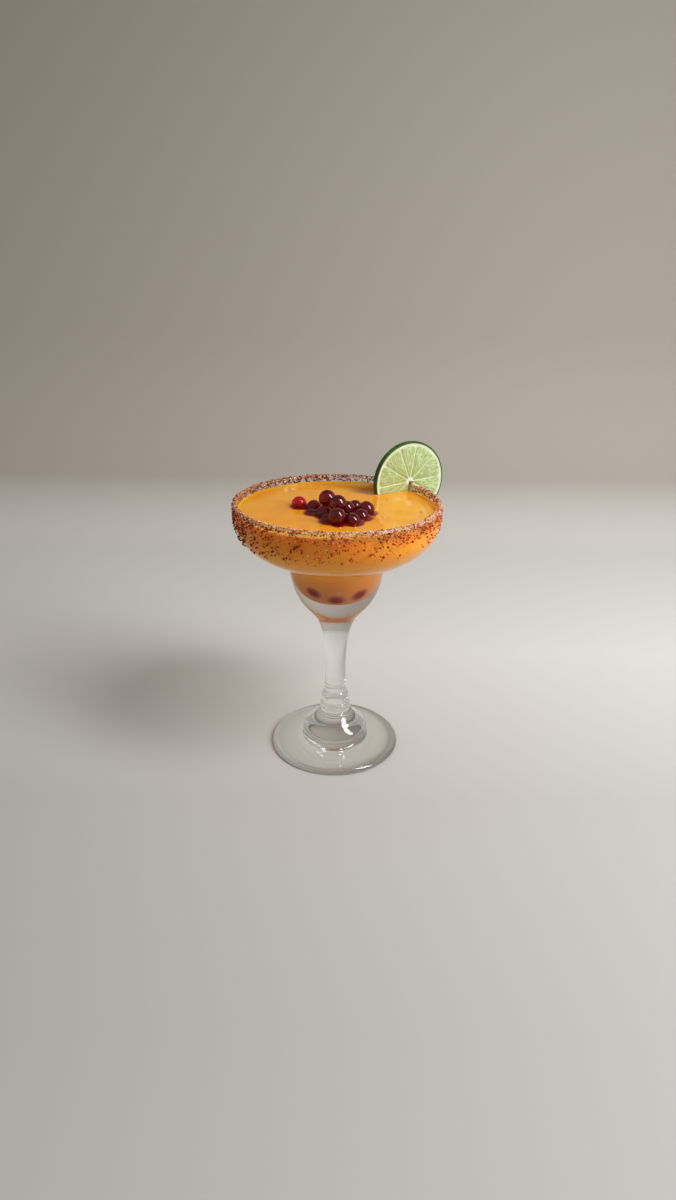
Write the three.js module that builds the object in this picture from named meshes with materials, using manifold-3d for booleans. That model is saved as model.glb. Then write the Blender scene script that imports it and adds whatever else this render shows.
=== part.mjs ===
// A margarita in its stemmed coupette: the glass with a chilli-salt rim, the drink in it,
// a wheel of lime pushed onto the rim and fifteen juice pearls heaped in the middle.
// Millimetres, +Z up, the underside of the foot on z = 0, the viewer on the -Y side.

import * as THREE from 'three';
import { mergeVertices } from 'three/addons/utils/BufferGeometryUtils.js';
import Module from 'manifold-3d';

const wasm = await Module();
wasm.setup();

// Glass
const GLASS_HEIGHT = 154.4;
const RIM_RADIUS = 56.8;
const WALL = 2.1;
const LIP = WALL / 2;
const FOOT_RADIUS = 38.5;
const FOOT_TOP = 3.7;
const FOOT_ROLL = 3.6;
const FOOT_CORNER = 1.1;
const AROUND = 48;

// Drink
const LIQUID_LEVEL = 150;
const GAP = 0.3;
const PEARL_FACET = 0.02;

// Lime wheel: its centre, the turn of its plane about +Z, and its size
const LIME_CENTRE = [41.7, 36.7, 156.1];
const LIME_TURN = THREE.MathUtils.degToRad(27.5);
const LIME_RADIUS = 23.2;
const LIME_THICK = 3.2;
const LIME_EDGE = 0.7;
const LIME_GAP = 0.35;

// Juice pearls: where each one lies in the heap, and its radius
const PEARLS = [
  { at: [-21, 3.2, 151], radius: 4.3 },
  { at: [-12.8, -0.6, 150.2], radius: 4.2 },
  { at: [-5.4, -7, 157.2], radius: 4.7 },
  { at: [0.4, -17.6, 157.6], radius: 4.6 },
  { at: [5, -10.2, 152.6], radius: 4.3 },
  { at: [0, -29.4, 154.2], radius: 4.5 },
  { at: [12.6, -17, 150.2], radius: 4.3 },
  { at: [7.8, -25.8, 150.8], radius: 4.2 },
  { at: [15.6, -8, 151.6], radius: 4.6 },
  { at: [9.6, -0.8, 150.4], radius: 4.3 },
  { at: [-6.8, -14.2, 151], radius: 4.4 },
  { at: [-4.4, -22.8, 149.4], radius: 4.3 },
  { at: [-13.6, -9.2, 147.6], radius: 4.2 },
  { at: [3.4, -18.4, 148.8], radius: 4.2 },
  { at: [-1.5, -1, 150.8], radius: 4.4 },
];

// Chilli salt: grains on the top of the rim, and grains scattered below it on the outside
const RIM_GRAINS = 72;
const SIDE_GRAINS = 56;
const GRAIN_SMALL = 0.55;
const GRAIN_LARGE = 0.95;
const SIDE_DEPTH = 15;
const LIME_CLEAR = 5;
const GRAIN_SEED = 7;

const limeFrame = new THREE.Matrix4().makeRotationZ(LIME_TURN).setPosition(...LIME_CENTRE);

function random(seed) {
  let state = seed;
  return () => {
    state = (state * 1664525 + 1013904223) % 4294967296;
    return state / 4294967296;
  };
}

// Points on a smooth curve through a few corners, each written as radius and height
function smooth(corners, steps) {
  const curve = new THREE.SplineCurve(corners.map(([r, z]) => new THREE.Vector2(r, z)));
  return curve.getPoints(steps);
}

function bezier(corners, steps) {
  const [a, b, c, d] = corners.map(([r, z]) => new THREE.Vector2(r, z));
  return new THREE.CubicBezierCurve(a, b, c, d).getPoints(steps);
}

// Points on part of an ellipse, between two angles in degrees
function arc(r, z, wide, high, from, to, steps) {
  const points = [];
  for (let i = 0; i <= steps; i += 1) {
    const angle = THREE.MathUtils.degToRad(from + ((to - from) * i) / steps);
    points.push(new THREE.Vector2(r + wide * Math.cos(angle), z + high * Math.sin(angle)));
  }
  return points;
}

// The same curve moved sideways, to its left as it runs
function offset(points, distance) {
  return points.map((point, i) => {
    const before = points[Math.max(i - 1, 0)];
    const after = points[Math.min(i + 1, points.length - 1)];
    const along = after.clone().sub(before).normalize();
    return new THREE.Vector2(point.x - along.y * distance, point.y + along.x * distance);
  });
}

// A lathe turns about +Y, so its body is stood up along +Z
function turned(points, around = AROUND) {
  const geometry = new THREE.LatheGeometry(points, around);
  geometry.rotateX(Math.PI / 2);
  return geometry;
}

function solid(geometry) {
  const plain = geometry.clone();
  plain.deleteAttribute('normal');
  plain.deleteAttribute('uv');
  const merged = mergeVertices(plain, 1e-4);
  const mesh = new wasm.Mesh({
    numProp: 3,
    vertProperties: new Float32Array(merged.attributes.position.array),
    triVerts: new Uint32Array(merged.index.array),
  });
  return new wasm.Manifold(mesh);
}

function geometryOf(body) {
  const mesh = body.getMesh();
  const geometry = new THREE.BufferGeometry();
  geometry.setAttribute('position', new THREE.BufferAttribute(mesh.vertProperties, 3));
  geometry.setIndex(new THREE.BufferAttribute(mesh.triVerts, 1));
  geometry.computeVertexNormals();
  return geometry;
}

// Outside of the upper bowl, from the waist up to the straight wall
const upperBowl = bezier([[28.2, 120.6], [39.5, 122.6], [RIM_RADIUS, 131.5], [RIM_RADIUS, 145]], 8);

// Corners of the profile, each a radius and a height: the domed knop on the foot,
// the ring and bead at the bottom of the stem, the stem with the lower bowl, and its inside
const KNOP = [
  [30, 4.3], [23.5, 5.2], [20.2, 6.6], [19.5, 9], [19.6, 11.2],
  [18.4, 13.7], [15.4, 16.6], [12.4, 19.2], [10.4, 21.2],
];
const RINGS = [[9.6, 22.6], [8.9, 23.4], [9.3, 26], [8.2, 29], [8.1, 32.6], [7.6, 34.8], [6.4, 37.2]];
const STEM = [
  [6.2, 44], [6.1, 56], [6.8, 68], [8.4, 77], [11.3, 84], [15.1, 89],
  [19.3, 94], [22.5, 99.2], [24.9, 105.5], [26.4, 112], [27, 118],
];
const WELL = [
  [0, 99.4], [5, 99.8], [9.2, 101.1], [12.4, 103.5], [14.8, 106.6], [16.9, 110], [19.2, 113.6], [22, 116.8],
  [25, 119.6],
];

// Inside of the cup, from the axis up to the straight wall, at a distance in from the glass
function cupInside(inset) {
  const wall = [...smooth(WELL, 6), ...offset(upperBowl, WALL)];
  const inner = offset(wall, inset);
  inner[0].x = 0;
  return inner;
}

function glassProfile() {
  const axis = new THREE.Vector2(0, 0);
  const under = new THREE.Vector2(FOOT_RADIUS - FOOT_CORNER, 0);
  const edge = arc(FOOT_RADIUS - FOOT_ROLL, FOOT_CORNER, FOOT_ROLL, FOOT_TOP - FOOT_CORNER, 0, 90, 4);
  const outside = [...smooth(KNOP, 10), ...smooth(RINGS, 9), ...smooth(STEM, 9), ...upperBowl];
  const lip = arc(RIM_RADIUS - LIP, GLASS_HEIGHT - LIP, LIP, LIP, 0, 180, 5);
  return [axis, under, ...edge, ...outside, ...lip, ...cupInside(0).reverse()];
}

// A small eight-sided crystal, turned at random
function grain(place, size, next) {
  const geometry = new THREE.OctahedronGeometry(size, 0);
  geometry.scale(1, 0.75 + 0.4 * next(), 1);
  geometry.rotateX(Math.PI * next());
  geometry.rotateY(Math.PI * next());
  geometry.translate(place.x, place.y, place.z);
  return solid(geometry);
}

function grainSize(next) {
  return GRAIN_SMALL + (GRAIN_LARGE - GRAIN_SMALL) * next() ** 2;
}

// True where a grain would be out of the way of the lime wheel
function clearOfLime(place) {
  const local = place.clone().applyMatrix4(limeFrame.clone().invert());
  return Math.abs(local.y) > LIME_CLEAR || Math.abs(local.x) > LIME_RADIUS;
}

// Grains on the top of the rim lie at an even spacing with a little scatter
function rimGrains(next) {
  const grains = [];
  for (let i = 0; i < RIM_GRAINS; i += 1) {
    const angle = ((i + 0.5 * next()) * 2 * Math.PI) / RIM_GRAINS;
    const tilt = Math.PI * (0.1 + 0.55 * next());
    const radius = RIM_RADIUS - LIP + LIP * Math.cos(tilt);
    const height = GLASS_HEIGHT - LIP + LIP * Math.sin(tilt);
    const place = new THREE.Vector3(radius * Math.cos(angle), radius * Math.sin(angle), height);
    if (clearOfLime(place)) {
      grains.push(grain(place, grainSize(next), next));
    }
  }
  return grains;
}

// Grains on the outside are thick below the rim and thin out downwards, more on the left
function sideGrains(next) {
  const grains = [];
  while (grains.length < SIDE_GRAINS) {
    const angle = 2 * Math.PI * next();
    const leftness = 0.65 - 0.35 * Math.cos(angle);
    const fall = 1.5 + SIDE_DEPTH * next() ** 2;
    const height = GLASS_HEIGHT - fall;
    const radius = wallRadius(height);
    const place = new THREE.Vector3(radius * Math.cos(angle), radius * Math.sin(angle), height);
    if (next() < leftness && clearOfLime(place)) {
      grains.push(grain(place, grainSize(next), next));
    }
  }
  return grains;
}

// Outside radius of the upper bowl at a height
function wallRadius(height) {
  const above = upperBowl.findIndex((point) => point.y >= height);
  if (above < 1) {
    return RIM_RADIUS;
  }
  const low = upperBowl[above - 1];
  const high = upperBowl[above];
  const share = (height - low.y) / (high.y - low.y);
  return low.x + share * (high.x - low.x);
}

function makeGlass() {
  const next = random(GRAIN_SEED);
  const grains = [...rimGrains(next), ...sideGrains(next)];
  return wasm.Manifold.union([solid(turned(glassProfile())), ...grains]);
}

// A disc with eased edges, its faces looking along Y, grown by a margin
function limeDisc(margin) {
  const radius = LIME_RADIUS + margin;
  const half = LIME_THICK / 2 + margin;
  const outline = [
    [0, -half],
    [radius - LIME_EDGE, -half],
    [radius, -half + LIME_EDGE],
    [radius, half - LIME_EDGE],
    [radius - LIME_EDGE, half],
    [0, half],
  ];
  return new THREE.LatheGeometry(outline.map(([r, y]) => new THREE.Vector2(r, y)), AROUND);
}

// The slit is the path of the glass wall through the wheel, from the rind up to its middle
function limeSlit() {
  const wall = [...upperBowl, new THREE.Vector2(RIM_RADIUS, LIME_CENTRE[2])];
  const outside = offset(wall, -LIME_GAP);
  const inside = offset(wall, WALL + LIME_GAP);
  const ring = [...outside, ...inside.reverse(), outside[0]];
  return turned(ring, 2 * AROUND).applyMatrix4(limeFrame.clone().invert());
}

function makeLime() {
  return solid(limeDisc(0)).subtract(solid(limeSlit()));
}

function pearlBall(radius) {
  return new THREE.IcosahedronGeometry(radius, 1);
}

// The drink fills the cup to its level and is cut out round everything that dips into it
function makeDrink() {
  const wall = cupInside(GAP);
  const radius = RIM_RADIUS - WALL - GAP;
  const top = [new THREE.Vector2(radius, LIQUID_LEVEL), new THREE.Vector2(0, LIQUID_LEVEL)];
  const body = solid(turned([...wall, ...top]));
  const holes = PEARLS.map((pearl) => {
    const hole = pearlBall(pearl.radius + GAP + PEARL_FACET);
    return solid(hole.translate(...pearl.at));
  });
  const limeHole = solid(limeDisc(GAP).applyMatrix4(limeFrame));
  return body.subtract(wasm.Manifold.union([limeHole, ...holes]));
}

function named(name, geometry, colour, roughness) {
  const material = new THREE.MeshStandardMaterial({ color: colour, roughness, metalness: 0 });
  const mesh = new THREE.Mesh(geometry, material);
  mesh.name = name;
  return mesh;
}

const glass = named('glass', geometryOf(makeGlass()), 0xd9dedd, 0.03);
const drink = named('drink', geometryOf(makeDrink()), 0xe3a33a, 0.08);

const lime = named('lime_wheel', geometryOf(makeLime()), 0xb4cc6a, 0.4);
lime.position.set(...LIME_CENTRE);
lime.rotation.z = LIME_TURN;

const heap = new THREE.Group();
PEARLS.forEach((pearl, i) => {
  const name = `pearl_${String(i + 1).padStart(2, '0')}`;
  const mesh = named(name, pearlBall(pearl.radius), 0x6a0c14, 0.08);
  mesh.position.set(...pearl.at);
  heap.add(mesh);
});

const margarita = new THREE.Group();
margarita.name = 'margarita';
margarita.add(glass, drink, lime, heap);

export default margarita;
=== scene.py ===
# %% [markdown]
# # A margarita in a stemmed coupette
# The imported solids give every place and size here, and Blender gives the looks. Each step below takes one
# real piece of the drink: the pressed glass, the juice pearls, the cloudy fruit drink, the lime wheel and
# the chilli salt on the rim. Sizes are written in millimetres and multiplied by MM.

import math
import random

import bpy
import numpy as np
from mathutils import Matrix, Vector, noise


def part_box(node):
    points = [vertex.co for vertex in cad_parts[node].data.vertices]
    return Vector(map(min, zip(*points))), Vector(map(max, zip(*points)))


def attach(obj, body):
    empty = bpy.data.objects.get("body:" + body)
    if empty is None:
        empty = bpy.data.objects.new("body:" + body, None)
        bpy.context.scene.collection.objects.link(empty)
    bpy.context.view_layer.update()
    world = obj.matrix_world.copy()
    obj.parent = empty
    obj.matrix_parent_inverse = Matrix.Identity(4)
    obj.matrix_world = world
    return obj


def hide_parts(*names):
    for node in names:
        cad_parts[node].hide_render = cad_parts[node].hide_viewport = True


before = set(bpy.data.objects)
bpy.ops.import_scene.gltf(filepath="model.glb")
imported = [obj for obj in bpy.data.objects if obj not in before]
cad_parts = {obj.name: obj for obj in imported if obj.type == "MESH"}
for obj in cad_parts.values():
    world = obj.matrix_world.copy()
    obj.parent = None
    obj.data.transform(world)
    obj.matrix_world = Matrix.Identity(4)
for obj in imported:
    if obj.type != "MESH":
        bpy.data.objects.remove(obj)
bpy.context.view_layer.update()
MM = 0.001
print("solids:", sorted(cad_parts))

# %% [markdown]
# A few small helpers carry the rest. Colours are picked as sRGB hex values, as one reads them off a swatch,
# while shaders want linear light, so one function turns the one into the other. The next one adds a shader
# node with its settings and links in one go, and two more begin a material and end one that lets light
# through. The last two clear the selection or set it, because an operator acts on all that is selected.

# %% Colours and shader nodes


def colour(code):
    """Linear red, green, blue and alpha of an sRGB hex value."""
    channels = [int(code[i : i + 2], 16) / 255 for i in (1, 3, 5)]
    linear = [c / 12.92 if c <= 0.04045 else ((c + 0.055) / 1.055) ** 2.4 for c in channels]
    return (*linear, 1.0)


def add_node(tree, kind, settings=None, stops=(), **links):
    """Adds a node. Settings are its own properties, and stops are the steps of a ramp. Each link is an
    input, by name or by number as i0 and i1, and holds a value, a hex colour, or what feeds it."""
    node = tree.nodes.new(kind)
    for name, value in (settings or {}).items():
        setattr(node, name, value)
    for name, value in links.items():
        key = int(name[1:]) if name[0] == "i" and name[1:].isdigit() else name.replace("_", " ")
        if isinstance(value, bpy.types.Node):
            value = value.outputs[0]
        if isinstance(value, bpy.types.NodeSocket):
            tree.links.new(value, node.inputs[key])
        else:
            node.inputs[key].default_value = colour(value) if isinstance(value, str) else value
    if stops:
        steps = node.color_ramp.elements
        while len(steps) < len(stops):
            steps.new(0.5)
        for step, (position, value) in zip(steps, stops):
            step.position = position
            step.color = colour(value) if isinstance(value, str) else (value, value, value, 1.0)
    return node


# %% Materials and selection
BLEND = {"data_type": "RGBA"}


def new_material(name):
    material = bpy.data.materials.new(name)
    material.use_nodes = True
    material.node_tree.nodes.clear()
    print("material:", name)
    return material, material.node_tree


def let_through(tree, shader, tint):
    """Ends a material with the shader, but lets part of the lamp's light pass into its shadow."""
    passed = add_node(tree, "ShaderNodeBsdfTransparent", Color=tint)
    shadow = add_node(tree, "ShaderNodeLightPath").outputs["Is Shadow Ray"]
    see = add_node(tree, "ShaderNodeMixShader", i0=shadow, i1=shader, i2=passed)
    add_node(tree, "ShaderNodeOutputMaterial", Surface=see)


def deselect():
    if bpy.context.mode != "OBJECT":
        bpy.ops.object.mode_set(mode="OBJECT")
    bpy.ops.object.select_all(action="DESELECT")


def pick(*objects):
    deselect()
    for item in objects:
        item.select_set(True)
    bpy.context.view_layer.objects.active = objects[0]


# %% [markdown]
# Most of the drink is round, so most of it is turned. A round piece starts as one point, which is extruded
# from corner to corner until it draws half the outline, and is then spun about the Z axis, as a potter or a
# glass mould would give it. Curved stretches come from a few corners with a smooth curve through them.

# %% Outlines


def smooth(corners, steps):
    """Points on a smooth curve through the corners, the same number of steps between each two."""
    points = []
    last = len(corners) - 1
    for i in range(last):
        a, b, c, d = (Vector(corners[k]) for k in (max(i - 1, 0), i, i + 1, min(i + 2, last)))
        for step in range(steps):
            t = step / steps
            start, end = (c - a) / 2, (d - b) / 2
            p = (2 * t**3 - 3 * t**2 + 1) * b + (t**3 - 2 * t**2 + t) * start
            p += (-2 * t**3 + 3 * t**2) * c + (t**3 - t**2) * end
            points.append(tuple(p))
    return points + [tuple(corners[-1])]


def bezier(a, b, c, d, steps):
    """Points on a curve from a to d, which sets out towards b and comes in from c."""
    a, b, c, d = (Vector(p) for p in (a, b, c, d))
    points = []
    for i in range(steps + 1):
        t, u = i / steps, 1 - i / steps
        points.append(tuple(u**3 * a + 3 * u**2 * t * b + 3 * u * t**2 * c + t**3 * d))
    return points


def arc(r, z, wide, high, first, last, steps):
    """Points on part of an ellipse, between two angles in degrees."""
    angles = [math.radians(first + (last - first) * i / steps) for i in range(steps + 1)]
    return [(r + wide * math.cos(a), z + high * math.sin(a)) for a in angles]


def offset(points, distance):
    """The same curve moved sideways, to its left as it runs."""
    moved = []
    for i, (r, z) in enumerate(points):
        before, after = points[max(i - 1, 0)], points[min(i + 1, len(points) - 1)]
        along = (Vector(after) - Vector(before)).normalized()
        moved.append((r - along.y * distance, z + along.x * distance))
    return moved


# %% Drawing, turning and placing


def draw(name, path):
    """A line of edges through the places of a path in metres, left in edit mode and selected."""
    deselect()
    bpy.ops.mesh.primitive_plane_add(size=MM)
    piece = bpy.context.object
    piece.name = piece.data.name = name
    bpy.ops.object.mode_set(mode="EDIT")
    bpy.ops.mesh.select_mode(type="VERT")
    bpy.ops.mesh.merge(type="CENTER")
    bpy.ops.transform.translate(value=path[0])
    for (x0, y0, z0), (x1, y1, z1) in zip(path, path[1:]):
        step = (x1 - x0, y1 - y0, z1 - z0)
        bpy.ops.mesh.extrude_vertices_move(TRANSFORM_OT_translate={"value": step})
    bpy.ops.mesh.select_all(action="SELECT")
    return piece


def turned(name, outline, steps=160, sharp=40):
    """A closed round piece, spun about the Z axis from its half outline in millimetres."""
    piece = draw(name, [(r * MM, 0, z * MM) for r, z in outline])
    bpy.ops.mesh.spin(steps=steps, angle=math.tau, center=(0, 0, 0), axis=(0, 0, 1))
    bpy.ops.mesh.select_all(action="SELECT")
    bpy.ops.mesh.remove_doubles(threshold=0.005 * MM)
    bpy.ops.mesh.normals_make_consistent(inside=False)
    bpy.ops.object.mode_set(mode="OBJECT")
    bpy.ops.object.shade_smooth_by_angle(angle=math.radians(sharp))
    return piece


def place(piece, material, slot, *nodes):
    """Gives a finished piece its material and its place in the frame."""
    if material:
        piece.data.materials.clear()
        piece.data.materials.append(material)
    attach(piece, "root")
    if nodes:
        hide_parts(*nodes)
    print(piece.name, len(piece.data.polygons), "faces", [round(v / MM, 1) for v in piece.dimensions], "mm")


# %% [markdown]
# ## Camera and light
# The photograph was taken from a little above the rim, about 0.4 m away, with a wide lens. A window to the
# right and slightly in front is the main light, so the soft shadow falls to the left and every pearl
# carries one tall highlight. A large area lamp stands for the window. The room itself is a soft grey glow,
# dimmer overhead, underfoot and behind the camera. Clear glass only shows its edges when it has something
# dark to bend into them, and dark pearls stay dark when little of the room is mirrored in them.

# %% Camera
CAMERA_AT = (1.0 * MM, -402.3 * MM, 270.5 * MM)
CAMERA_DOWN = math.radians(23.6)
CAMERA_ROLL = math.radians(0.68)
LENS_MM = 22.8
SENSOR_MM = 36

lens = bpy.data.cameras.new("camera")
lens.lens = LENS_MM
lens.sensor_width = SENSOR_MM
camera = bpy.data.objects.new("camera", lens)
bpy.context.scene.collection.objects.link(camera)
aim = Matrix.Rotation(math.pi / 2 - CAMERA_DOWN, 4, "X") @ Matrix.Rotation(CAMERA_ROLL, 4, "Z")
camera.matrix_world = Matrix.Translation(CAMERA_AT) @ aim
bpy.context.scene.camera = camera
bpy.context.scene.view_settings.view_transform = "Standard"
bpy.context.scene.view_settings.look = "None"
print("camera at", [round(v / MM, 1) for v in camera.location], "mm")

# %% Window
WINDOW_AT = Vector((580, -290, 660)) * MM
WINDOW_AIM = Vector((0, 0, 120)) * MM
WINDOW_SIZE = (230 * MM, 660 * MM)
WINDOW_WATTS = 8.2

light = bpy.data.lights.new("window", "AREA")
light.shape = "RECTANGLE"
light.size, light.size_y = WINDOW_SIZE
light.energy = WINDOW_WATTS
light.color = colour("#FDFDFF")[:3]
window = bpy.data.objects.new("window", light)
bpy.context.scene.collection.objects.link(window)
window.location = WINDOW_AT
window.rotation_euler = (WINDOW_AIM - WINDOW_AT).to_track_quat("-Z", "Y").to_euler()
print("window:", round((WINDOW_AIM - WINDOW_AT).length / MM), "mm away")

# %% Glow of the room
UNDERFOOT, ALL_ROUND, OVERHEAD = "#ABA8A3", "#D6D2CB", "#A3A09B"
GLOW_BEHIND_CAMERA = 0.42
GLOW_ELSEWHERE = 0.8

world = bpy.data.worlds.new("room")
bpy.context.scene.world = world
world.use_nodes = True
sky = world.node_tree
sky.nodes.clear()
where = add_node(sky, "ShaderNodeTexCoord").outputs["Generated"]
split = add_node(sky, "ShaderNodeSeparateXYZ", Vector=where).outputs
height = add_node(sky, "ShaderNodeMapRange", i0=split["Z"], i1=-1.0, i2=1.0)
bands = [(0.0, UNDERFOOT), (0.45, ALL_ROUND), (0.62, ALL_ROUND), (1.0, OVERHEAD)]
glow = add_node(sky, "ShaderNodeValToRGB", stops=bands, Fac=height)
strength = add_node(
    sky, "ShaderNodeMapRange", i0=split["Y"], i1=-0.95, i2=-0.4, i3=GLOW_BEHIND_CAMERA, i4=GLOW_ELSEWHERE
)
background = add_node(sky, "ShaderNodeBackground", Color=glow, Strength=strength)
add_node(sky, "ShaderNodeOutputWorld", Surface=background)

# %% [markdown]
# ## Floor and backdrop
# A plain pale table with a plain grey wall behind it, made as one sheet that curves up at the back, as a
# photographer's sweep does. The table is a little darker in front and the wall darker towards its top, as
# light falls off across a room. The sheet isn't part of the drink.

# %% Floor
FLOOR_HALF = 1600 * MM
WALL_AT = 550 * MM
WALL_HIGH = 2200 * MM
SWEEP = 200 * MM
NEAR = 10 * MM


def pick_edges(piece, wanted):
    """Selects the edges whose two ends both pass the test, and leaves edit mode on."""
    bpy.ops.object.mode_set(mode="EDIT")
    bpy.ops.mesh.select_mode(type="EDGE")
    bpy.ops.mesh.select_all(action="DESELECT")
    bpy.ops.object.mode_set(mode="OBJECT")
    for edge in piece.data.edges:
        edge.select = all(wanted(piece.matrix_world @ piece.data.vertices[i].co) for i in edge.vertices)
    bpy.ops.object.mode_set(mode="EDIT")


bpy.ops.mesh.primitive_plane_add(size=2 * FLOOR_HALF, location=(0, WALL_AT - FLOOR_HALF, 0))
floor = bpy.context.object
floor.name = "floor"
pick(floor)
pick_edges(floor, lambda end: end.y > WALL_AT - NEAR)
bpy.ops.mesh.extrude_region_move(TRANSFORM_OT_translate={"value": (0, 0, WALL_HIGH)})
pick_edges(floor, lambda end: end.y > WALL_AT - NEAR and abs(end.z) < NEAR)
bpy.ops.mesh.bevel(offset=SWEEP, segments=12)
bpy.ops.object.mode_set(mode="OBJECT")
bpy.ops.object.transform_apply(location=True)
bpy.ops.object.shade_smooth()
print("floor:", len(floor.data.polygons), "faces")

# %% Pale plaster
# Painted light fall-off: the table is painted darker in front and lighter at the back, the wall darker up
# top.
TABLE_PAINTED_FALLOFF = [(0.0, "#BAB9B5"), (0.35, "#C1C0BC"), (0.8, "#E0DFDB")]
WALL_PAINTED_FALLOFF = [(0.05, "#B5ADA4"), (0.6, "#979086")]

plaster, tree = new_material("pale_plaster")
spot = add_node(tree, "ShaderNodeTexCoord").outputs["Object"]
axes = add_node(tree, "ShaderNodeSeparateXYZ", Vector=spot).outputs
back = add_node(tree, "ShaderNodeMapRange", i0=axes["Y"], i1=-200 * MM, i2=200 * MM)
table = add_node(tree, "ShaderNodeValToRGB", stops=TABLE_PAINTED_FALLOFF, Fac=back)
wall = add_node(tree, "ShaderNodeValToRGB", stops=WALL_PAINTED_FALLOFF, Fac=axes["Z"])
rise = add_node(tree, "ShaderNodeMapRange", i0=axes["Z"], i1=0.0, i2=45 * MM)
tone = add_node(tree, "ShaderNodeMix", BLEND, i0=rise, i6=table, i7=wall).outputs[2]
matt = add_node(tree, "ShaderNodeBsdfPrincipled", Base_Color=tone, Roughness=0.7)
add_node(tree, "ShaderNodeOutputMaterial", Surface=matt)
floor.data.materials.append(plaster)

# %% [markdown]
# ## The glass
# A coupette of this kind is pressed or blown in a mould from soda-lime glass and is one piece from foot to
# rim: a flat foot, a domed knop, a step, a bead and a collar, a plain stem that swells into a narrow lower
# bowl, and a wide upper bowl. It could be built from primitives and joined, but then the seams would show
# through the clear glass. One outline spun round gives a single skin with an inside and an outside.

# %% Sizes of the glass
GLASS_HEIGHT = 154.4
RIM_RADIUS = 56.8
WALL = 2.1
LIP = WALL / 2
FOOT_RADIUS = 38.5
FOOT_TOP = 3.7
FOOT_ROLL = 3.6
FOOT_CORNER = 1.1
LIQUID_LEVEL = 150.0

# Each corner of the outline is a radius and a height.
UNDERSIDE = [(0, 0.9), (14, 0.8), (25, 0.5), (33, 0.08), (34.5, 0)]
KNOP = [(30, 4.3), (23.5, 5.2), (20.2, 6.6), (19.4, 9), (19.5, 11.2)]
KNOP += [(18.3, 13.7), (15.3, 16.6), (12.3, 19.2), (10.5, 21.0)]
RINGS = [(10.3, 21.4), (10.2, 22.2), (9.5, 22.8), (8.9, 23.3), (8.9, 24.0), (9.3, 25.2), (9.2, 26.6)]
RINGS += [(8.3, 28.2), (7.8, 29.2), (8.0, 31.0), (8.1, 32.6), (7.6, 34.8), (6.6, 36.4), (6.3, 38.5)]
STEM = [(6.2, 44), (6.1, 56), (6.8, 68), (8.4, 77), (11.3, 84), (15.1, 89), (19.3, 94)]
STEM += [(22.5, 99.2), (24.9, 105.5), (26.4, 112), (27, 118)]
WELL = [(0, 99.4), (5, 99.8), (9.2, 101.1), (12.4, 103.5), (14.8, 106.6)]
WELL += [(16.9, 110), (19.2, 113.6), (22, 116.8), (25, 119.6)]

# %% Outline of the glass
bowl_outside = bezier((28.2, 120.6), (39.5, 122.6), (RIM_RADIUS, 131.5), (RIM_RADIUS, 145), 36)
cup_inside = smooth(WELL, 5) + offset(bowl_outside, WALL)
foot_corner = arc(FOOT_RADIUS - FOOT_CORNER, FOOT_CORNER, FOOT_CORNER, FOOT_CORNER, -90, 0, 5)
foot_roll = arc(FOOT_RADIUS - FOOT_ROLL, FOOT_CORNER, FOOT_ROLL, FOOT_TOP - FOOT_CORNER, 0, 90, 10)[1:]
lip = arc(RIM_RADIUS - LIP, GLASS_HEIGHT - LIP, LIP, LIP, 0, 180, 10)

glass_outline = UNDERSIDE + foot_corner + foot_roll + smooth(KNOP, 5) + smooth(RINGS, 4) + smooth(STEM, 6)
glass_outline += bowl_outside + lip + cup_inside[::-1]
coupette = turned("coupette", glass_outline, steps=160, sharp=60)
print("glass outline:", len(glass_outline), "corners")

# %% [markdown]
# Clear soda-lime glass bends light with an index of about 1.5 and has the faintest green in it. A real
# lamp shines through it and throws bright patches, which a path tracer finds only with many samples. So for
# shadows, and for the light that matt things send out, the glass is taken as clear. Only the thick edge of
# the foot, which bends light aside, leaves a thin dark line on the table. A ray that has been mirrored
# three times is trapped in the knop, and it is let straight out, as a path cut short there would be black.

# %% Soda-lime glass
EDGE_FROM, EDGE_TO = 33.5 * MM, 37.5 * MM
FOOT_ONLY, NO_FOOT = 6 * MM, 10 * MM
VEIL = [(0.0, "#FFFFFF"), (0.2, "#F6F7F5"), (1.0, "#A19F99")]
MIRRORED_TOO_OFTEN = 2.5

glass, tree = new_material("pressed_soda_lime_glass")
clear = add_node(
    tree, "ShaderNodeBsdfPrincipled", Base_Color="#FBFDFC", Roughness=0.0, IOR=1.5, Transmission_Weight=1.0
)
spot = add_node(tree, "ShaderNodeTexCoord").outputs["Object"]
axes = add_node(tree, "ShaderNodeSeparateXYZ", Vector=spot).outputs
around = add_node(tree, "ShaderNodeCombineXYZ", i0=axes["X"], i1=axes["Y"])
wide = add_node(tree, "ShaderNodeVectorMath", {"operation": "LENGTH"}, i0=around).outputs["Value"]
edge = add_node(tree, "ShaderNodeMapRange", i0=wide, i1=EDGE_FROM, i2=EDGE_TO, i3=0.2, i4=1.0)
foot = add_node(tree, "ShaderNodeMapRange", i0=axes["Z"], i1=FOOT_ONLY, i2=NO_FOOT, i3=1.0, i4=0.0)
thick = add_node(tree, "ShaderNodeMath", {"operation": "MULTIPLY"}, i0=edge, i1=foot)
veil = add_node(tree, "ShaderNodeValToRGB", stops=VEIL, Fac=thick)
shade = add_node(tree, "ShaderNodeBsdfTransparent", Color=veil)
ray = add_node(tree, "ShaderNodeLightPath").outputs
larger = {"operation": "MAXIMUM"}
sent_out = add_node(tree, "ShaderNodeMath", larger, i0=ray["Is Shadow Ray"], i1=ray["Is Diffuse Ray"])
over = {"operation": "GREATER_THAN"}
trapped = add_node(tree, "ShaderNodeMath", over, i0=ray["Glossy Depth"], i1=MIRRORED_TOO_OFTEN)
easy = add_node(tree, "ShaderNodeMath", larger, i0=sent_out, i1=trapped)
see = add_node(tree, "ShaderNodeMixShader", i0=easy, i1=clear, i2=shade)
add_node(tree, "ShaderNodeOutputMaterial", Surface=see)
place(coupette, glass, "glass", "glass")

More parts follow.
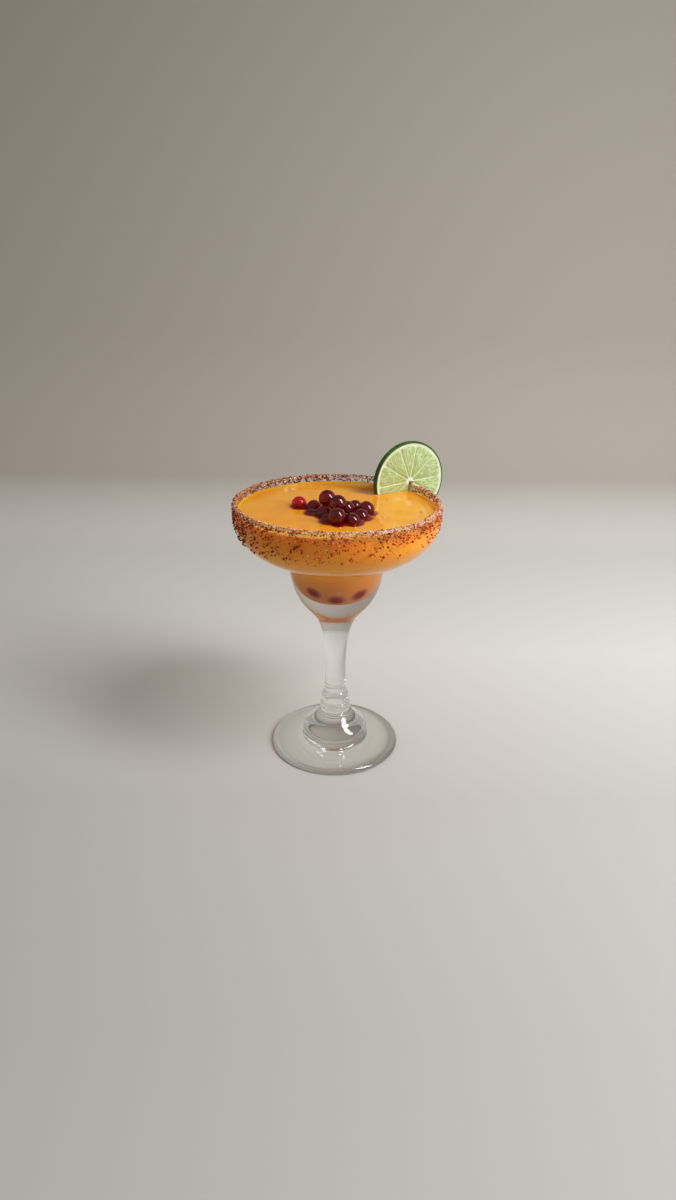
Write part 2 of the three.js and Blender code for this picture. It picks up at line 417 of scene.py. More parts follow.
# %% [markdown]
# ## The juice pearls
# Popping pearls are drops of juice in a thin skin of seaweed gel, as glossy as glass and never quite round.
# Each starts as an icosphere at the place of its solid and is squeezed a little with smooth noise. The
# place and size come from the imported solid, so the pearls lie where the model has them.

# %% Pearls on the surface
PEARL_NAMES = sorted(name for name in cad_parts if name.startswith("pearl"))
DENT_SCALE = 1.3
DENT = 0.022
SHRINK = 0.012


def ball(name, centre, radius, seed):
    deselect()
    bpy.ops.mesh.primitive_ico_sphere_add(subdivisions=5, radius=radius, location=centre)
    piece = bpy.context.object
    piece.name = piece.data.name = name
    bpy.ops.object.transform_apply(location=True, rotation=True, scale=True)
    for vertex in piece.data.vertices:
        out = (vertex.co - centre).normalized()
        dent = noise.noise(out * DENT_SCALE + Vector((seed, 0, 0))) * DENT - SHRINK
        vertex.co = centre + out * radius * (1 + dent)
    bpy.ops.object.shade_smooth()
    return piece


pearls = []
for i, node in enumerate(PEARL_NAMES):
    low, high = (Vector(corner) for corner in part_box(node))
    centre, radius = (low + high) / 2, (high - low).z / 2
    pearls.append((ball(f"juice_{node}", centre, radius, 3.7 * i), node, centre, radius))
print("pearls:", [round(radius / MM, 2) for _, _, _, radius in pearls])

# %% [markdown]
# The skin is clear and the juice is dark red. A pearl at the end of the heap, which light can pass, glows
# bright red, and one that is stacked on others goes nearly black. Both are painted on one kind of pearl:
# a lighter red as painted light for a pearl lit through, and a darker red as painted shade for the stacked
# ones. Part of the light goes through, tinted, and part comes back from the red body, which keeps a pearl
# from looking hollow. The lamp's light that crosses a pearl keeps only its red.

# %% Dark red juice in a gel skin
# The pearls painted in the lighter red, as painted light; all others get the darker red of painted shade.
LIT_THROUGH = {"pearl_01"}


def pearl_material(name, red):
    material, tree = new_material(name)
    juice = add_node(
        tree,
        "ShaderNodeBsdfPrincipled",
        Base_Color=red,
        Roughness=0.03,
        IOR=1.33,
        Transmission_Weight=0.65,
        Coat_Weight=0.5,
        Coat_Roughness=0.04,
    )
    let_through(tree, juice, "#BC302C")
    return material


painted_lit_pearl = pearl_material("juice_pearl_painted_lit", "#C60E0E")
painted_shaded_pearl = pearl_material("juice_pearl_painted_shaded", "#740614")
for piece, node, centre, radius in pearls:
    place(piece, painted_lit_pearl if node in LIT_THROUGH else painted_shaded_pearl, "pearl", node)

# %% [markdown]
# ## The drink
# The drink is thick with fruit, so light goes a few millimetres in and comes out orange. Its body follows
# the inside of the glass and reaches a tenth of a millimetre into the wall, so that no film of air shows
# between them. Its top climbs slightly where it wets the glass, each pearl and the lime, which is what
# tells the eye that it is liquid.

# %% Body of the drink
INTO_WALL = 0.12
TOP_STEP = 0.75
body = [point for point in offset(cup_inside, -INTO_WALL) if point[1] < LIQUID_LEVEL - 3]
body[0] = (0, body[0][1])
edge_radius = RIM_RADIUS - WALL + INTO_WALL
rings_across = int(edge_radius / TOP_STEP)
top = [(edge_radius * (1 - i / rings_across), LIQUID_LEVEL) for i in range(rings_across + 1)]
drink = turned("fruit_drink", body + [(edge_radius, LIQUID_LEVEL - 1.5)] + top, steps=200, sharp=50)

# %% Where the lime dips in
LIME_TURN = math.radians(27.5)
LIME_RADIUS = 23.2
LIME_THICK = 3.2
LIME_CENTRE = Vector((41.7, 36.7, 156.1)) * MM
lime_along = Vector((math.cos(LIME_TURN), math.sin(LIME_TURN), 0))
lime_face = Vector((-math.sin(LIME_TURN), math.cos(LIME_TURN), 0))


def past_lime(point):
    """How far a place is from the lime's two faces and past its two ends, in millimetres, 0 inside."""
    side = point - LIME_CENTRE
    away = abs(side.dot(lime_face)) / MM - LIME_THICK / 2
    beyond = abs(side.dot(lime_along)) / MM - LIME_RADIUS
    return max(away, 0), max(beyond, 0)


# %% Rise at the edges
CLIMB = 0.55
REACH_AT_GLASS = 0.8
REACH_AT_PIECES = 0.9


def waterlines(point):
    """Distance in millimetres from a place on the surface to each pearl's edge in it, 0 inside the pearl."""
    for _, _, centre, radius in pearls:
        depth = centre.z / MM - LIQUID_LEVEL
        ring = math.sqrt(max((radius / MM) ** 2 - depth**2, 0))
        if ring > 0:
            yield max((point.xy - centre.xy).length / MM - ring, 0)


def climb(point):
    """How far the surface rises at a place, near the glass, the pearls and the lime."""
    at_glass = math.exp(-(edge_radius - point.xy.length / MM) / REACH_AT_GLASS)
    at_pearls = [0.9 * math.exp(-away / REACH_AT_PIECES) for away in waterlines(point)]
    at_lime = 0.8 * math.exp(-math.hypot(*past_lime(point)) / REACH_AT_PIECES)
    return max(at_glass, *at_pearls, at_lime)


# %% Mound, and syrup with painted shade, between the pearls
MOUND = 1.3
SWELL = 0.10
SWELL_SIZE = 9 * MM
SYRUP_AND_SHADE_REACH = 1.9
SYRUP_AND_SHADE_SHIFT = Vector((-0.6, 2.2, 0)) * MM
SYRUP_AND_SHADE_FROM, SYRUP_AND_SHADE_FULL = 0.18, 1.6
MOUND_FROM = 0.9

# How much the pearls crowd each place, for the dark red of syrup and painted shade round them.
stain = drink.data.attributes.new("syrup_and_shade", "FLOAT", "POINT")
for vertex in drink.data.vertices:
    if vertex.co.z > (LIQUID_LEVEL - 0.01) * MM:
        crowd = sum(math.exp(-((away / SYRUP_AND_SHADE_REACH) ** 2)) for away in waterlines(vertex.co + SYRUP_AND_SHADE_SHIFT))
        stain.data[vertex.index].value = min(max(crowd - SYRUP_AND_SHADE_FROM, 0), SYRUP_AND_SHADE_FULL) / SYRUP_AND_SHADE_FULL
        swell = SWELL * noise.noise(vertex.co / SWELL_SIZE) + MOUND * min(max(crowd - MOUND_FROM, 0), 1)
        vertex.co.z += (CLIMB * climb(vertex.co) + swell) * MM
print("surface:", rings_across, "rings")

# %% Sunken pearls
SUNKEN = [(-7.5, -7.7, 109.2), (0, -8.6, 106.7), (7.6, -6.8, 108.2), (0.4, 7.9, 105.9)]
SUNKEN_RADIUS = 4.3
sunken = []
for i, at in enumerate(SUNKEN):
    sunken.append(ball(f"sunken_pearl_{i + 1}", Vector(at) * MM, SUNKEN_RADIUS * MM, 50.0 + i))

# %% [markdown]
# Cloudy fruit drink scatters light, so the shader is mostly subsurface with an orange that deepens as the
# light goes further. A slow swirl of paler and redder juice is mixed in. Round and between the pearls the
# top is painted dark red, partly syrup run out of the heap and partly painted shade where they crowd, and a
# deeper orange patch is painted at the back. The lower bowl is painted darker and browner, partly painted
# shade and partly red juice, and pearls that sank show as soft spots through it, three in front and one at
# the back. The top is wet and shiny. The side has no shine of its own, because the glass in front of it has
# that, and its orange is painted a little brighter than the top's, as painted light on the side.

# %% Patterns in the drink
# The last, pale pink spot is the back pearl, painted lighter than the front ones as painted light.
SPOT_COLOURS = ["#7A0804", "#7A0804", "#7A0804", "#DC7450"]
SPOT_NEAR, SPOT_FAR = 4.9, 6.7
# A deeper orange patch painted at the back of the surface.
DEEPER_ORANGE_AT = (15.6, 37.5, 150)
DEEPER_ORANGE_NEAR, DEEPER_ORANGE_FAR = 1, 10
# Dark red round and between the pearls: part syrup, part painted shade where the pearls crowd.
THIN_SYRUP_AND_SHADE = [(0.0, 0.0), (0.1, 0.35), (0.3, 1.0)]
THICK_SYRUP_AND_SHADE = [(0.26, 0.0), (0.46, 1.0)]
# Below this height the lower bowl is painted darker and browner: part painted shade, part red juice.
SHADE_AND_STAIN_FROM, SHADE_AND_STAIN_FULL_AT = 124 * MM, 102 * MM


def nearness(tree, position, centre, near, far):
    """1 within the near distance of a place and 0 beyond the far one, both in millimetres."""
    apart = add_node(
        tree, "ShaderNodeVectorMath", {"operation": "DISTANCE"}, i0=position, i1=tuple(c * MM for c in centre)
    ).outputs["Value"]
    soft = {"interpolation_type": "SMOOTHSTEP"}
    return add_node(tree, "ShaderNodeMapRange", soft, i0=apart, i1=near * MM, i2=far * MM, i3=1.0, i4=0.0)


def stained_top(tree, spot, tone):
    """Dark red round the pearls, part syrup, part painted shade, and a deeper orange patch at the back."""
    syrup_and_shade = add_node(tree, "ShaderNodeAttribute", {"attribute_name": "syrup_and_shade"}).outputs["Fac"]
    thin = add_node(tree, "ShaderNodeValToRGB", stops=THIN_SYRUP_AND_SHADE, Fac=syrup_and_shade)
    thick = add_node(tree, "ShaderNodeValToRGB", stops=THICK_SYRUP_AND_SHADE, Fac=syrup_and_shade)
    tone = add_node(tree, "ShaderNodeMix", BLEND, i0=thin, i6=tone, i7="#B03408").outputs[2]
    tone = add_node(tree, "ShaderNodeMix", BLEND, i0=thick, i6=tone, i7="#6A0608").outputs[2]
    patch = nearness(tree, spot, DEEPER_ORANGE_AT, DEEPER_ORANGE_NEAR, DEEPER_ORANGE_FAR)
    return add_node(tree, "ShaderNodeMix", BLEND, i0=patch, i6=tone, i7="#E0820C").outputs[2]


def spotted_side(tree, spot, tone):
    """Darker lower bowl, part painted shade and part red juice, with a soft spot round each sunken pearl."""
    height = add_node(tree, "ShaderNodeSeparateXYZ", Vector=spot).outputs["Z"]
    low = add_node(tree, "ShaderNodeMapRange", i0=height, i1=SHADE_AND_STAIN_FROM, i2=SHADE_AND_STAIN_FULL_AT)
    tone = add_node(tree, "ShaderNodeMix", BLEND, i0=low, i6=tone, i7="#C07046").outputs[2]
    for at, red in zip(SUNKEN, SPOT_COLOURS):
        dot = nearness(tree, spot, at, SPOT_NEAR, SPOT_FAR)
        tone = add_node(tree, "ShaderNodeMix", BLEND, i0=dot, i6=tone, i7=red).outputs[2]
    return tone


# %% Cloudy orange drink
EDDY_SCALE = 38.0  # eddies about 26 mm wide
SWIRL_SCALE = 55.0  # bent by them, streaks about 18 mm wide
BENDING = (20 * MM, 20 * MM, 10 * MM)


def drink_material(name, body_hex, swirl_hex, stains, wet):
    material, tree = new_material(name)
    spot = add_node(tree, "ShaderNodeTexCoord").outputs["Object"]
    warp = add_node(tree, "ShaderNodeTexNoise", Vector=spot, Scale=EDDY_SCALE, Detail=3.0).outputs["Color"]
    bend = {"operation": "MULTIPLY_ADD"}
    bent = add_node(tree, "ShaderNodeVectorMath", bend, i0=warp, i1=BENDING, i2=spot)
    swirl = add_node(tree, "ShaderNodeTexNoise", Vector=bent, Scale=SWIRL_SCALE, Detail=5.0, Roughness=0.6)
    stops = [(0.35, body_hex), (0.68, swirl_hex)]
    tone = add_node(tree, "ShaderNodeValToRGB", stops=stops, Fac=swirl.outputs["Fac"])
    shader = add_node(
        tree,
        "ShaderNodeBsdfPrincipled",
        Base_Color=stains(tree, spot, tone),
        Roughness=0.09 if wet else 0.5,
        IOR=1.35,
        Specular_IOR_Level=0.5 if wet else 0.0,
        Subsurface_Weight=0.85,
        Subsurface_Radius=(1.0, 0.42, 0.12),
        Subsurface_Scale=4 * MM,
    )
    add_node(tree, "ShaderNodeOutputMaterial", Surface=shader)
    return material


surface = drink_material("wet_fruit_drink", "#F09A0E", "#F6AC20", stained_top, wet=True)
# The side's orange is painted a little brighter than the top's, as painted light on the side.
side = drink_material("fruit_drink_behind_glass_painted_brighter", "#FF9A02", "#FFA60C", spotted_side, wet=False)
place(drink, None, "drink", "drink")
drink.data.materials.append(side)
drink.data.materials.append(surface)
for face in drink.data.polygons:
    face.material_index = int(face.center.z > (LIQUID_LEVEL - 0.6) * MM)
# Sunken pearls get the darker red, the painted-shade copy.
for piece in sunken:
    place(piece, painted_shaded_pearl, "pearl")

# %% [markdown]
# A few small bubbles are left from shaking. Each is a ball cut off at the waterline, and one is modelled
# and copied to the others' places. Their film is as clear as water, so they show by a small highlight and a
# faint edge.

# %% Small bubbles
# Each bubble has its place on the surface and its radius.
BUBBLES = [(1.8, -35.9, 0.7), (28.2, 14.7, 0.8), (34.4, -4.7, 0.6), (27.6, 18.4, 0.5), (45.4, -7.0, 0.9)]
BUBBLES += [(24.5, -17.5, 0.7), (27.4, -15.6, 0.5), (-31.0, 21.0, 0.5), (-12.0, 44.0, 0.6)]
BUBBLES += [(-14.2, 43.0, 0.4), (8.0, -31.0, 0.4)]
FLATTENED = 0.8

deselect()
bpy.ops.mesh.primitive_uv_sphere_add(segments=24, ring_count=12, radius=MM)
first = bpy.context.object
bpy.ops.object.mode_set(mode="EDIT")
bpy.ops.mesh.select_all(action="SELECT")
bpy.ops.mesh.bisect(plane_co=(0, 0, -0.25 * MM), plane_no=(0, 0, 1), clear_inner=True, use_fill=True)
bpy.ops.object.mode_set(mode="OBJECT")
bpy.ops.object.shade_smooth_by_angle(angle=math.radians(50))

bubbles = []
for x, y, radius in BUBBLES:
    one = first.copy()
    one.data = first.data.copy()
    size = Matrix.Diagonal((radius, radius, radius * FLATTENED, 1))
    one.data.transform(Matrix.Translation(Vector((x, y, LIQUID_LEVEL)) * MM) @ size)
    bpy.context.scene.collection.objects.link(one)
    bubbles.append(one)
bpy.data.objects.remove(first)
pick(*bubbles)
bpy.ops.object.join()
froth = bpy.context.object
froth.name = froth.data.name = "surface_bubbles"
print("bubbles:", len(BUBBLES))

# %% Film of the bubbles
film, tree = new_material("bubble_film")
skin = add_node(
    tree, "ShaderNodeBsdfPrincipled", Base_Color="#FFF0D8", Roughness=0.05, IOR=1.33, Transmission_Weight=0.9
)
add_node(tree, "ShaderNodeOutputMaterial", Surface=skin)
place(froth, film, "drink")

# %% [markdown]
# ## The lime wheel
# A slice across a lime shows a dark green rind that is thin and oily, a white pith, and ten or so segments
# of juice sacs that fan out from a white core, with a thin skin between each two. Painting all that on a
# disc would look printed. Here the rind and the pith are turned as rings, and each segment is drawn between
# its own two membranes, wider or narrower than the next, and raised like plump cut flesh.

# %% Rind and pith
half = LIME_THICK / 2
upright = Matrix.Rotation(math.pi / 2, 4, "X")
LIME_FRAME = Matrix.Translation(LIME_CENTRE) @ Matrix.Rotation(LIME_TURN, 4, "Z") @ upright
RIND_TOP = [(22.2, half), (22.8, half - 0.05), (23.15, half - 0.5)]
PITH_TOP = [(0, 1.52), (1.3, 1.58), (2.0, 1.5), (2.6, 1.38), (20.2, 1.38), (20.9, 1.5), (22.3, 1.52)]
RIND_INSIDE = 21.9

rind_edge = [(r, -z) for r, z in RIND_TOP] + [(LIME_RADIUS, 0)] + RIND_TOP[::-1]
print("lime:", 2 * LIME_RADIUS, "mm across")
rind = turned("lime_rind", rind_edge + [(RIND_INSIDE, 0), rind_edge[0]], steps=144)
pith = turned("lime_pith", [(r, -z) for r, z in PITH_TOP] + PITH_TOP[::-1], steps=144)

# %% Outline of one segment
PULP_RADIUS = 20.7
CORE_RADIUS = 1.9
MEMBRANE = 0.42
CORNER = 1.5


def segment_outline(first, last):
    """Corners of a wedge between two membranes, in metres, with its outer corners rounded."""
    middle, spread = (first + last) / 2, (last - first) / 2
    tip = max(CORE_RADIUS, MEMBRANE / 2 / math.sin(spread) + 0.35)
    edge = [(tip, 0.0)]
    for r in (tip + 0.5, 4.5, 7, 10, 13, 16, PULP_RADIUS - CORNER):
        edge.append((r, spread - math.asin(MEMBRANE / 2 / r)))
    reach = edge[-1][1]
    for share in (0.5, 1.0):
        r = PULP_RADIUS - CORNER + CORNER * math.sin(share * math.pi / 2)
        edge.append((r, reach - CORNER * (1 - math.cos(share * math.pi / 2)) / r))
    edge += [(PULP_RADIUS, edge[-1][1] * 0.5), (PULP_RADIUS, 0.0)]
    loop = [(r, middle + a) for r, a in edge] + [(r, middle - a) for r, a in edge[-2:0:-1]]
    return [(r * math.cos(a) * MM, r * math.sin(a) * MM) for r, a in loop]


# %% One segment
PULP_THICK = 2.6 * MM
PLUMPING = [(0.14 * MM, 0.17 * MM), (0.22 * MM, 0.08 * MM)]


def segment(name, first, last):
    """A wedge of pulp between two membranes, plump on both faces."""
    piece = draw(name, [(x, y, -PULP_THICK / 2) for x, y in segment_outline(first, last)])
    bpy.ops.mesh.edge_face_add()
    bpy.ops.mesh.extrude_region_move(TRANSFORM_OT_translate={"value": (0, 0, PULP_THICK)})
    bpy.ops.mesh.select_all(action="SELECT")
    bpy.ops.mesh.normals_make_consistent(inside=False)
    bpy.ops.mesh.select_all(action="DESELECT")
    bpy.ops.mesh.select_mode(type="FACE")
    bpy.ops.object.mode_set(mode="OBJECT")
    for face in piece.data.polygons:
        face.select = abs(face.normal.z) > 0.9
    bpy.ops.object.mode_set(mode="EDIT")
    for inwards, outwards in PLUMPING:
        bpy.ops.mesh.inset(thickness=inwards, depth=outwards, use_individual=True)
    bpy.ops.object.mode_set(mode="OBJECT")
    bpy.ops.object.shade_smooth_by_angle(angle=math.radians(50))
    return piece


# %% Ten segments
SEGMENTS = 10
FIRST_MEMBRANE = math.radians(4)
UNEVEN = 0.14
dice = random.Random(11)
shares = [i + dice.uniform(-UNEVEN, UNEVEN) for i in range(SEGMENTS)]
membranes = [FIRST_MEMBRANE + share * math.tau / SEGMENTS for share in shares]
membranes.append(membranes[0] + math.tau)
pulp_parts = [segment(f"segment_{i}", *membranes[i : i + 2]) for i in range(SEGMENTS)]
print("membranes at", [round(math.degrees(angle)) for angle in membranes], "degrees")

# %% [markdown]
# The wheel is slit from its rind to its core and pushed over the rim. The slit is cut with the path of the
# glass wall itself, a little wider, so that the lime sits on the glass and never through it.

# %% The slit
SLIT_GAP = 0.35
wall_line = bowl_outside + [(RIM_RADIUS, LIME_CENTRE.z / MM)]
slit_outline = offset(wall_line, -SLIT_GAP) + offset(wall_line, WALL + SLIT_GAP)[::-1]
slit = turned("slit", slit_outline + slit_outline[:1], steps=240)
for piece in [rind, pith, *pulp_parts]:
    piece.data.transform(LIME_FRAME)
    pick(piece)
    cut = piece.modifiers.new("slit", "BOOLEAN")
    cut.object = slit
    cut.operation = "DIFFERENCE"
    cut.solver = "EXACT"
    bpy.ops.object.modifier_apply(modifier=cut.name)
bpy.data.objects.remove(slit)
pick(*pulp_parts)
bpy.ops.object.join()
pulp = bpy.context.object
pulp.name = pulp.data.name = "lime_pulp"

# %% [markdown]
# Three finishes make the lime. The rind is a waxy dark green with oil pits a millimetre apart. The pith is
# soft and nearly white. The pulp is wet and lets light in, and its juice sacs are long drops that point at
# the core, so its pattern is drawn in distance and angle from the core, stretched along the distance. So
# thin a slice also lets some of the lamp's light through, which keeps its shadow on the drink soft.

# %% Distance and angle on the wheel


def lime_polar(tree):
    """Distance from the core, angle round it, and depth, read in the wheel's own plane."""
    spot = add_node(tree, "ShaderNodeTexCoord").outputs["Object"]
    local = add_node(
        tree,
        "ShaderNodeMapping",
        {"vector_type": "TEXTURE"},
        Vector=spot,
        Location=tuple(LIME_CENTRE),
        Rotation=(0, 0, LIME_TURN),
    )
    across, depth, up = add_node(tree, "ShaderNodeSeparateXYZ", Vector=local).outputs
    angle = add_node(tree, "ShaderNodeMath", {"operation": "ARCTAN2"}, i0=up, i1=across)
    flat = add_node(tree, "ShaderNodeCombineXYZ", i0=across, i1=0.0, i2=up)
    far = add_node(tree, "ShaderNodeVectorMath", {"operation": "LENGTH"}, i0=flat).outputs["Value"]
    return far, angle, depth


# %% Waxy lime peel
PIT_SCALE = 900.0  # oil pits about 1.1 mm apart
BLOTCH_SCALE = 120.0  # darker and lighter green, about 8 mm wide

peel, tree = new_material("waxy_lime_peel")
spot = add_node(tree, "ShaderNodeTexCoord").outputs["Object"]
pits = add_node(tree, "ShaderNodeTexVoronoi", Vector=spot, Scale=PIT_SCALE).outputs["Distance"]
blotch = add_node(tree, "ShaderNodeTexNoise", Vector=spot, Scale=BLOTCH_SCALE, Detail=3.0).outputs["Fac"]
tone = add_node(tree, "ShaderNodeValToRGB", stops=[(0.3, "#1C3A0E"), (0.7, "#38621A")], Fac=blotch)
dents = add_node(tree, "ShaderNodeBump", Strength=0.35, Distance=0.15 * MM, Height=pits)
waxy = add_node(tree, "ShaderNodeBsdfPrincipled", Base_Color=tone, Roughness=0.38, IOR=1.45, Normal=dents)
add_node(tree, "ShaderNodeOutputMaterial", Surface=waxy)
place(rind, peel, "lime", "lime_wheel")

# %% Lime pith
FIBRE_SCALE = 500.0  # fibres about 2 mm wide
CORE_INSIDE, CORE_OUTSIDE = 1.6 * MM, 3.2 * MM
GREEN_FROM, GREEN_TO = 21.6 * MM, 22.4 * MM

white, tree = new_material("lime_pith")
spot = add_node(tree, "ShaderNodeTexCoord").outputs["Object"]
far, angle, depth = lime_polar(tree)
mottle = add_node(tree, "ShaderNodeTexNoise", Vector=spot, Scale=FIBRE_SCALE, Detail=3.0).outputs["Fac"]
base = add_node(tree, "ShaderNodeValToRGB", stops=[(0.3, "#D3DEB8"), (0.7, "#E2EACE")], Fac=mottle)
core = add_node(tree, "ShaderNodeMapRange", i0=far, i1=CORE_INSIDE, i2=CORE_OUTSIDE, i3=1.0, i4=0.0)
base = add_node(tree, "ShaderNodeMix", BLEND, i0=core, i6=base, i7="#EFF1E2").outputs[2]
rim = add_node(tree, "ShaderNodeMapRange", i0=far, i1=GREEN_FROM, i2=GREEN_TO)
tone = add_node(tree, "ShaderNodeMix", BLEND, i0=rim, i6=base, i7="#8DB653").outputs[2]
soft = add_node(
    tree,
    "ShaderNodeBsdfPrincipled",
    Base_Color=tone,
    Roughness=0.45,
    Subsurface_Weight=0.6,
    Subsurface_Radius=(1.0, 1.0, 0.5),
    Subsurface_Scale=1.5 * MM,
)
let_through(tree, soft, "#8E9A6A")
place(pith, white, "lime", "lime_wheel")

# %% Juice sacs
# Cells of the fan, so that a sac is about 5 mm long and there are about ninety round the wheel.
FAN_PER_METRE, FAN_PER_RADIAN, FAN_DEPTH, SAC_SCALE = 120.0, 9.0, 250.0, 1.6
STREAK_SCALE = 2.2
PALE_WALLS = 0.75

flesh, tree = new_material("lime_juice_sacs")
far, angle, depth = lime_polar(tree)
times = {"operation": "MULTIPLY"}
along = add_node(tree, "ShaderNodeMath", times, i0=far, i1=FAN_PER_METRE)
round_it = add_node(tree, "ShaderNodeMath", times, i0=angle, i1=FAN_PER_RADIAN)
deep = add_node(tree, "ShaderNodeMath", times, i0=depth, i1=FAN_DEPTH)
fan = add_node(tree, "ShaderNodeCombineXYZ", i0=along, i1=round_it, i2=deep)
sacs = add_node(
    tree, "ShaderNodeTexVoronoi", {"feature": "DISTANCE_TO_EDGE"}, Vector=fan, Scale=SAC_SCALE
).outputs["Distance"]
streak = add_node(tree, "ShaderNodeTexNoise", Vector=fan, Scale=STREAK_SCALE, Detail=4.0).outputs["Fac"]
walls = add_node(tree, "ShaderNodeValToRGB", stops=[(0.0, 1.0), (0.14, 0.0)], Fac=sacs)
inner = add_node(tree, "ShaderNodeValToRGB", stops=[(0.3, "#8AA034"), (0.7, "#A8B754")], Fac=streak)
outer = add_node(tree, "ShaderNodeValToRGB", stops=[(0.3, "#98AE5E"), (0.7, "#B4C288")], Fac=streak)
spread = add_node(tree, "ShaderNodeMapRange", i0=far, i1=4 * MM, i2=17 * MM)
tone = add_node(tree, "ShaderNodeMix", BLEND, i0=spread, i6=inner, i7=outer).outputs[2]
pale = add_node(tree, "ShaderNodeMath", times, i0=walls, i1=PALE_WALLS)
tone = add_node(tree, "ShaderNodeMix", BLEND, i0=pale, i6=tone, i7="#DAE1C0").outputs[2]
plump = add_node(tree, "ShaderNodeBump", Strength=0.5, Distance=0.25 * MM, Height=sacs)
wet = add_node(
    tree,
    "ShaderNodeBsdfPrincipled",
    Base_Color=tone,
    Roughness=0.18,
    IOR=1.36,
    Subsurface_Weight=0.8,
    Subsurface_Radius=(0.8, 1.0, 0.3),
    Subsurface_Scale=3.0 * MM,
    Normal=plump,
)
let_through(tree, wet, "#A8B070")
place(pulp, flesh, "lime", "lime_wheel")

# %% [markdown]
# ## The chilli salt
# The rim was wetted and rolled in a mix of coarse salt and ground chilli, so grains of many sizes stick to
# the top of the rim and thin out down the outside, further down on the left where the glass was dipped
# deeper. The back of the rim is redder with chilli. The front right is paler, partly with salt and partly as
# painted light on the side that faces the lamp. Thousands of objects would be slow. Each kind is one mesh
# instead: a small faceted crystal, modelled once, whose corners are repeated at each grain's place, turn
# and size.

# %% Places for the grains
# Grains are paler towards the front right, partly more salt and partly painted light on the lamp's side.
DEEPEST_SIDE = math.radians(205)
SALTIEST_AND_LIT_SIDE = math.radians(310)
SALTIER_AND_LIT = 0.28
RIM_MIDDLE = GLASS_HEIGHT - LIP
bowl_heights = [z for _, z in bowl_outside] + [GLASS_HEIGHT]
bowl_radii = [r for r, _ in bowl_outside] + [RIM_RADIUS]


def outside_radius(z):
    """Radius of the glass's outside at a height in the upper bowl, both in millimetres."""
    return float(np.interp(z, bowl_heights, bowl_radii))


def on_rim(chance):
    """A place on the rounded top of the rim, or just below it on the outside."""
    angle = chance.uniform(0, math.tau)
    tilt = math.radians(chance.uniform(-90, 165))
    if tilt < 0:
        return angle, RIM_RADIUS, RIM_MIDDLE - chance.random() ** 1.4 * (2.2 + 1.4 * math.sin(angle))
    return angle, RIM_RADIUS - LIP + LIP * math.cos(tilt), RIM_MIDDLE + LIP * math.sin(tilt)


def on_side(chance):
    """A place further down the outside. The dip went deepest on the left."""
    while True:
        angle = chance.uniform(0, math.tau)
        left = max(0.0, math.cos(angle - DEEPEST_SIDE))
        drop = 1.5 + chance.expovariate(1.0) * (4.8 + 2.8 * left)
        lumpy = noise.noise(Vector((7 * math.cos(angle), 7 * math.sin(angle), drop * 0.3))) * 0.5 + 0.5
        if drop < 15 + 6 * left and chance.random() < (0.55 + 0.45 * left) * min(1, 0.25 + 1.2 * lumpy):
            return angle, outside_radius(GLASS_HEIGHT - drop), GLASS_HEIGHT - drop


def on_lip(chance):
    """A place on the inner edge of the rim, where fine chilli makes a thin dark line of painted shade."""
    return chance.uniform(0, math.tau), RIM_RADIUS - WALL + 0.1, RIM_MIDDLE - chance.random() * 0.7


def beside(spot, chance):
    """A place next to the last one, so that some grains sit in lumps."""
    angle, r, z = spot
    z = min(z + chance.gauss(0, 0.6), RIM_MIDDLE)
    return angle + chance.gauss(0, 0.7) / r, outside_radius(z), z


# %% One mesh of many grains
LIME_CLEARANCE = 0.6
LUMPS_BELOW = 2  # this far under the rim's top, a grain may sit beside the last one


def clear_of_lime(angle, r):
    side = Vector((r * math.cos(angle), r * math.sin(angle), 0)) * MM - LIME_CENTRE
    off_face = abs(side.dot(lime_face)) > (LIME_THICK / 2 + LIME_CLEARANCE) * MM
    return off_face or abs(side.dot(lime_along)) > LIME_RADIUS * MM


def turn_and_stretch(chance, size):
    """A random turn and stretch of a crystal, as a matrix in metres."""
    axis = Vector([chance.gauss(0, 1) for _ in range(3)]).normalized()
    stretch = Matrix.Diagonal((1, chance.uniform(0.6, 1.0), chance.uniform(0.45, 0.9)))
    return np.array(Matrix.Rotation(chance.uniform(0, math.tau), 3, axis) @ stretch) * size * MM


def scatter(name, crystal, count, sizes, shares, lumps, material, seed):
    """One mesh of many crystals, their half widths in millimetres, shared out over rim, side and lip."""
    chance = random.Random(seed)
    corners, faces = crystal
    smallest, largest = sizes
    points, loops, tints = [], [], []
    here = on_rim(chance)
    while len(tints) < count:
        spot = chance.choices([on_rim, on_side, on_lip], shares)[0](chance)
        if here[2] < GLASS_HEIGHT - LUMPS_BELOW and chance.random() < lumps:
            spot = beside(here, chance)
        angle, r, z = spot
        if not clear_of_lime(angle, r):
            continue
        here = spot
        size = smallest + (largest - smallest) * chance.random() ** 1.6
        r += size * chance.uniform(-0.1, 0.4)
        turn = turn_and_stretch(chance, size)
        at = np.array((r * math.cos(angle), r * math.sin(angle), z)) * MM
        loops.append(faces + len(points) * len(corners))
        points.append(corners @ turn.T + at)
        # Paler towards the front right: partly salt, partly painted light from the lamp.
        paler = SALTIER_AND_LIT * math.cos(angle - SALTIEST_AND_LIT_SIDE)
        tints.append(min(max(chance.random() + paler, 0), 1))
    mesh = bpy.data.meshes.new(name)
    mesh.from_pydata(np.concatenate(points).tolist(), [], np.concatenate(loops).tolist())
    tint = mesh.attributes.new("tint", "FLOAT", "POINT")
    tint.data.foreach_set("value", np.repeat(tints, len(corners)).astype(np.float32))
    mesh.update()
    piece = bpy.data.objects.new(name, mesh)
    bpy.context.scene.collection.objects.link(piece)
    place(piece, material, "glass", "glass")


# %% Crystal shapes


